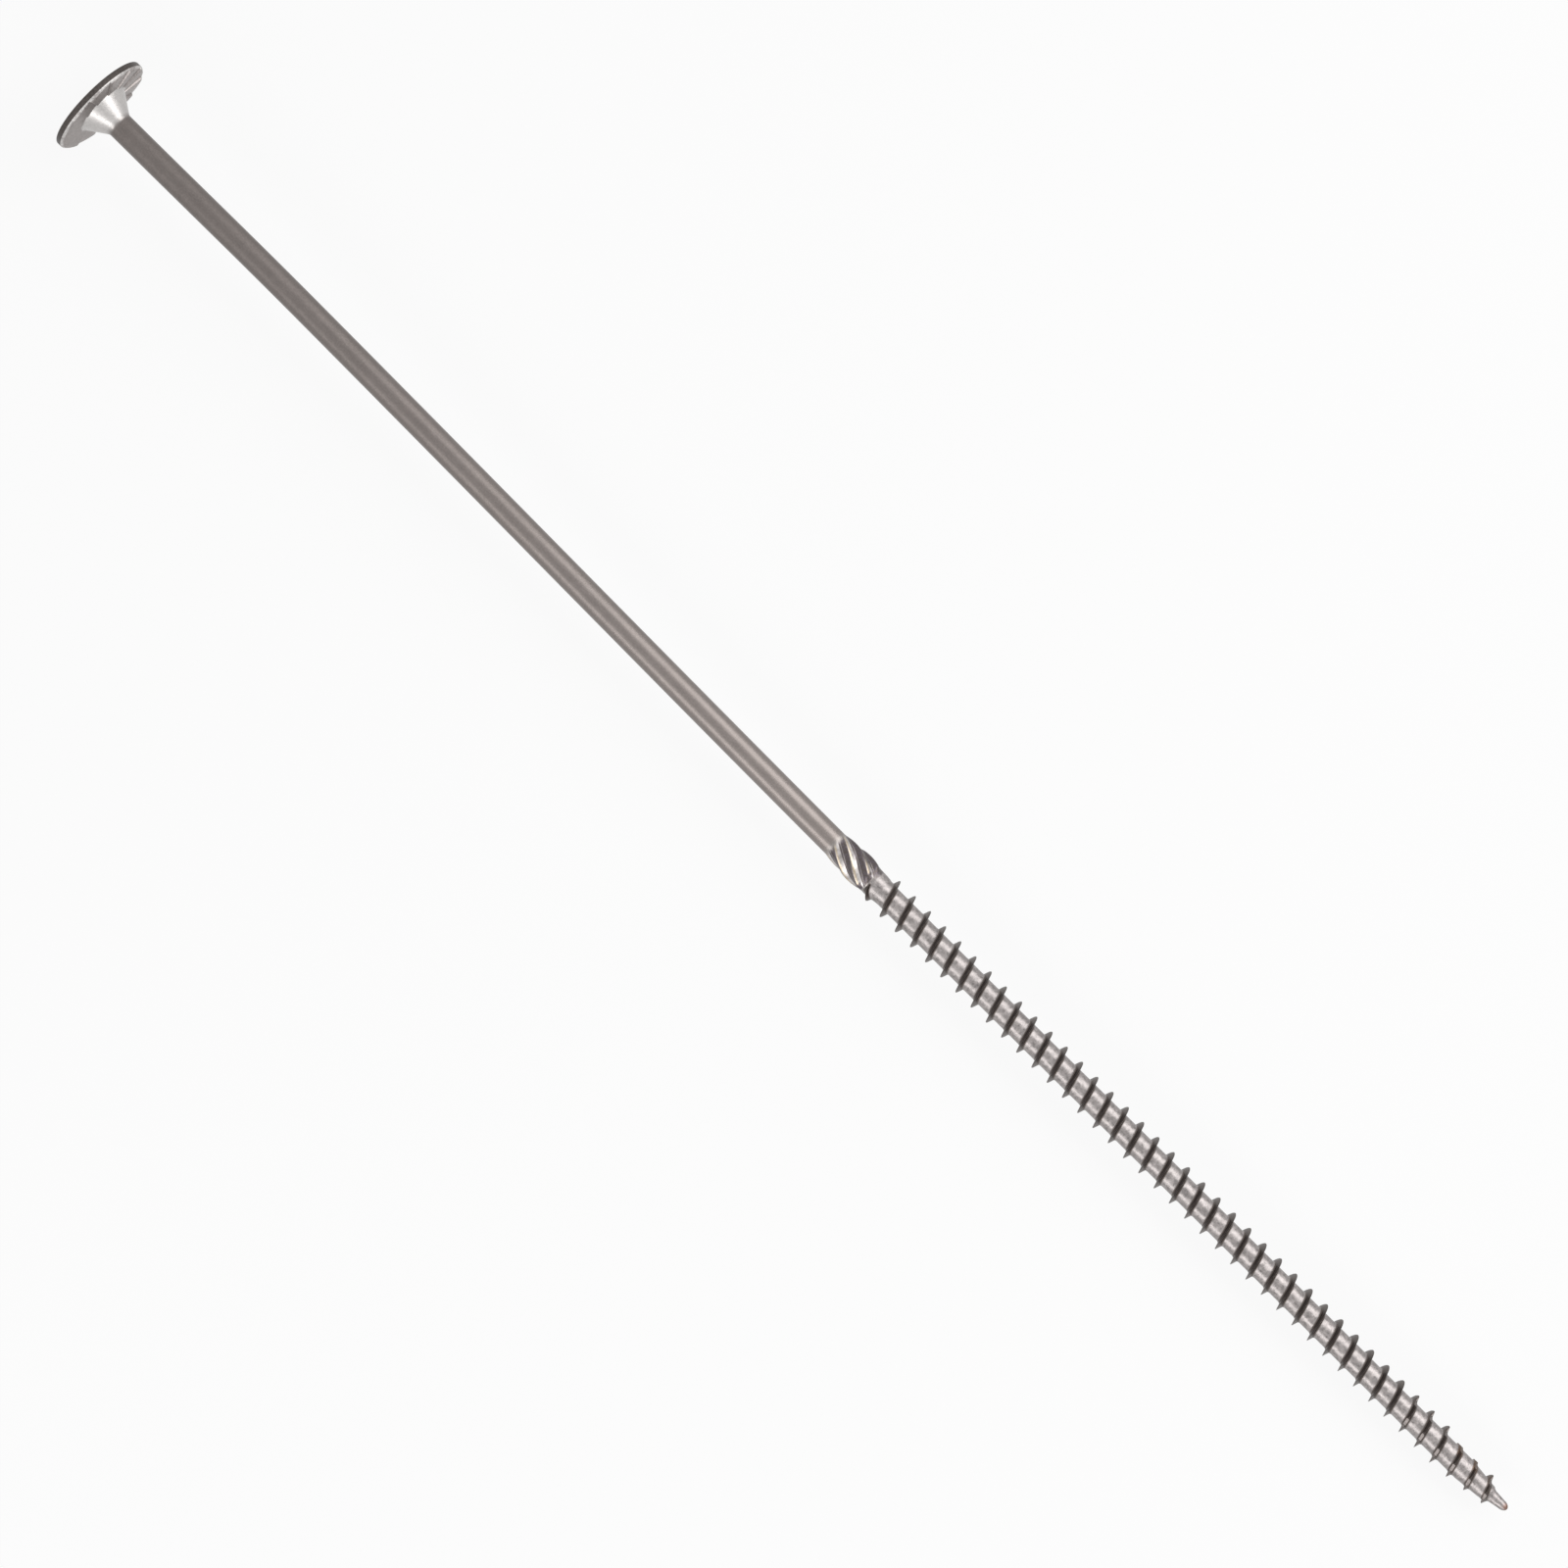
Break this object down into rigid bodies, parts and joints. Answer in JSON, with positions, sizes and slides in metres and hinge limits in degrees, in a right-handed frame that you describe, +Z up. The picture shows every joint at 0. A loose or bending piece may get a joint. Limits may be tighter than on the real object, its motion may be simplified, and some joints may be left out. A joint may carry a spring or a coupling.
{
  "type": "structural screw",
  "caption": "Long steel timber screw with a wide flange head, serrated underneath, a plain shank, a fluted shank cutter, a coarse wood thread and a blunt point, lying on its side.",
  "frame": {"origin": "middle of the footprint on the surface that the screw lies on", "axes": "+X along the screw towards its point, which dips 1.1 degrees below level at rest; +Z up"},
  "size_m": [0.4, 0.0228, 0.0229],
  "materials": {
    "steel": "bare forged and rolled steel, satin grey shank, brighter rolled thread, cutter and neck"
  },
  "bodies": {
    "root": {"screw": "steel"}
  },
  "joints": []
}
